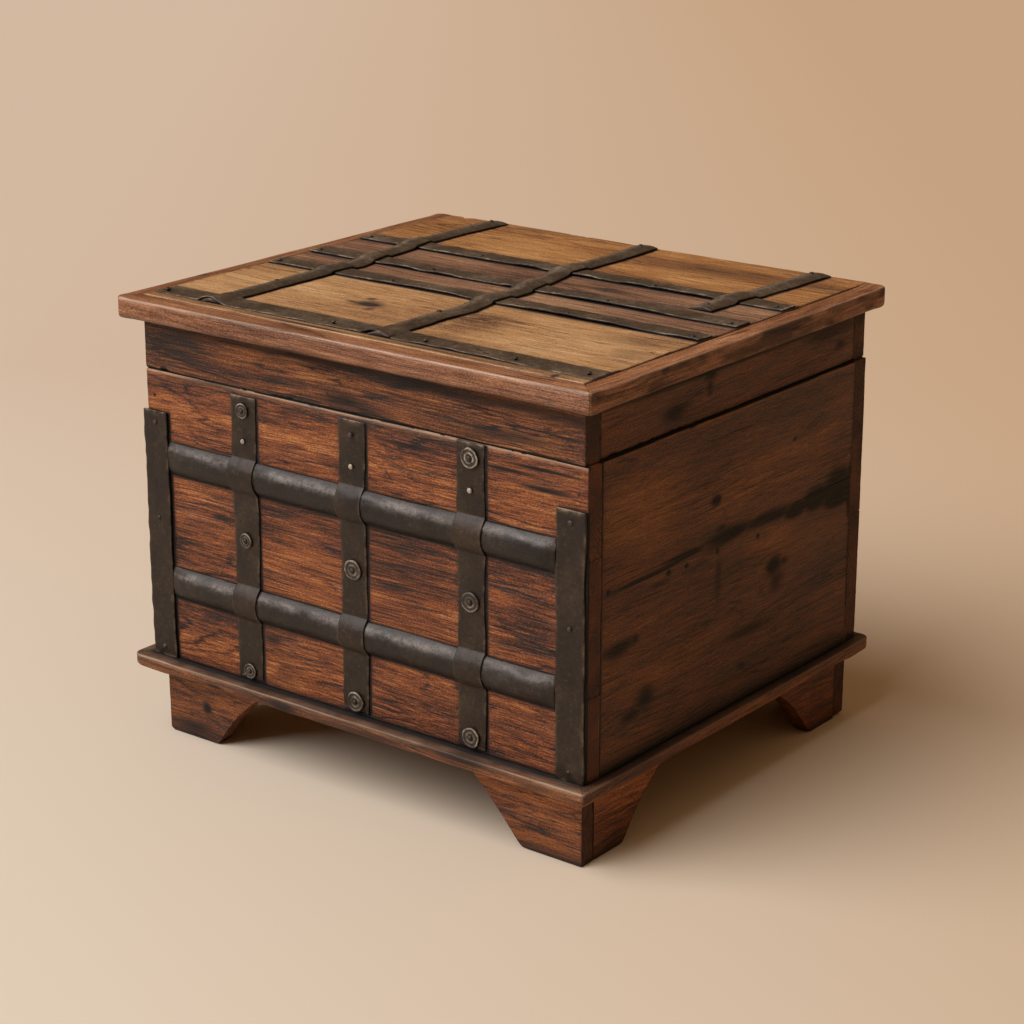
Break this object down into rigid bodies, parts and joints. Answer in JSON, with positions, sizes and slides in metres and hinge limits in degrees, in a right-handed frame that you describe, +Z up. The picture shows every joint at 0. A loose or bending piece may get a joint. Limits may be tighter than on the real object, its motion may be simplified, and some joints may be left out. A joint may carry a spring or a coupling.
{
  "type": "damchiya chest",
  "caption": "Small iron-bound wooden dowry chest: plank body on a moulded base with bracket feet, overhanging hinged lid, flat and half-round iron straps.",
  "frame": {"origin": "on the floor under the middle of the chest", "axes": "+Z up, -Y towards the front with the iron bands, +X to the right as seen from the front"},
  "size_m": [0.491, 0.4284, 0.396],
  "materials": {
    "carcase_teak": "old oiled hardwood, worn and nail stained",
    "lid_plank_teak": "sun-faded hardwood planks, waxed",
    "rim_teak": "rounded hardwood moulding, polished by handling",
    "raw_mango": "unfinished inner wood",
    "forged_iron": "hand-forged iron strap, blackened and waxed",
    "nail_iron": "forged square nails, heads rubbed bright"
  },
  "bodies": {
    "root": {"back_plank_lower": "carcase_teak", "back_plank_upper": "carcase_teak", "base_rail_back": "rim_teak", "base_rail_front": "rim_teak", "base_rail_left": "rim_teak", "base_rail_right": "rim_teak", "bottom_plank_1": "raw_mango", "bottom_plank_2": "raw_mango", "carcase_brads": "nail_iron", "carcase_strap_nails": "nail_iron", "corner_strap_left": "forged_iron", "corner_strap_right": "forged_iron", "foot_back_left_face": "carcase_teak", "foot_back_left_side": "carcase_teak", "foot_back_right_face": "carcase_teak", "foot_back_right_side": "carcase_teak", "foot_front_left_face": "carcase_teak", "foot_front_left_side": "carcase_teak", "foot_front_right_face": "carcase_teak", "foot_front_right_side": "carcase_teak", "foot_glue_blocks": "raw_mango", "front_band_lower": "forged_iron", "front_band_upper": "forged_iron", "front_plank_lower": "carcase_teak", "front_plank_middle": "carcase_teak", "front_plank_upper": "carcase_teak", "front_strap_left": "forged_iron", "front_strap_middle": "forged_iron", "front_strap_right": "forged_iron", "hinge_body_leaf_left": "forged_iron", "hinge_body_leaf_right": "forged_iron", "hinge_pins": "forged_iron", "left_side_lower": "carcase_teak", "left_side_upper": "carcase_teak", "right_side_lower": "carcase_teak", "right_side_upper": "carcase_teak", "strap_rosettes": "forged_iron"},
    "lid": {"hinge_lid_leaf_left": "forged_iron", "hinge_lid_leaf_right": "forged_iron", "lid_plank_back": "lid_plank_teak", "lid_plank_front": "lid_plank_teak", "lid_plank_second": "lid_plank_teak", "lid_plank_third": "lid_plank_teak", "lid_rail_front": "rim_teak", "lid_rail_left": "rim_teak", "lid_rail_right": "rim_teak", "lid_rib_left": "forged_iron", "lid_rib_middle": "forged_iron", "lid_rib_right": "forged_iron", "lid_skirt_back": "carcase_teak", "lid_skirt_brads": "nail_iron", "lid_skirt_front": "carcase_teak", "lid_skirt_left": "carcase_teak", "lid_skirt_right": "carcase_teak", "lid_strap_fourth": "forged_iron", "lid_strap_front": "forged_iron", "lid_strap_nails": "nail_iron", "lid_strap_second": "forged_iron", "lid_strap_third": "forged_iron"}
  },
  "joints": [
    {"name": "lid_hinge", "type": "hinge", "parent": "root", "child": "lid", "pos_m": [0.004, 0.20695, 0.328], "axis": [-1, 0, 0], "range_deg": [0, 105]}
  ]
}
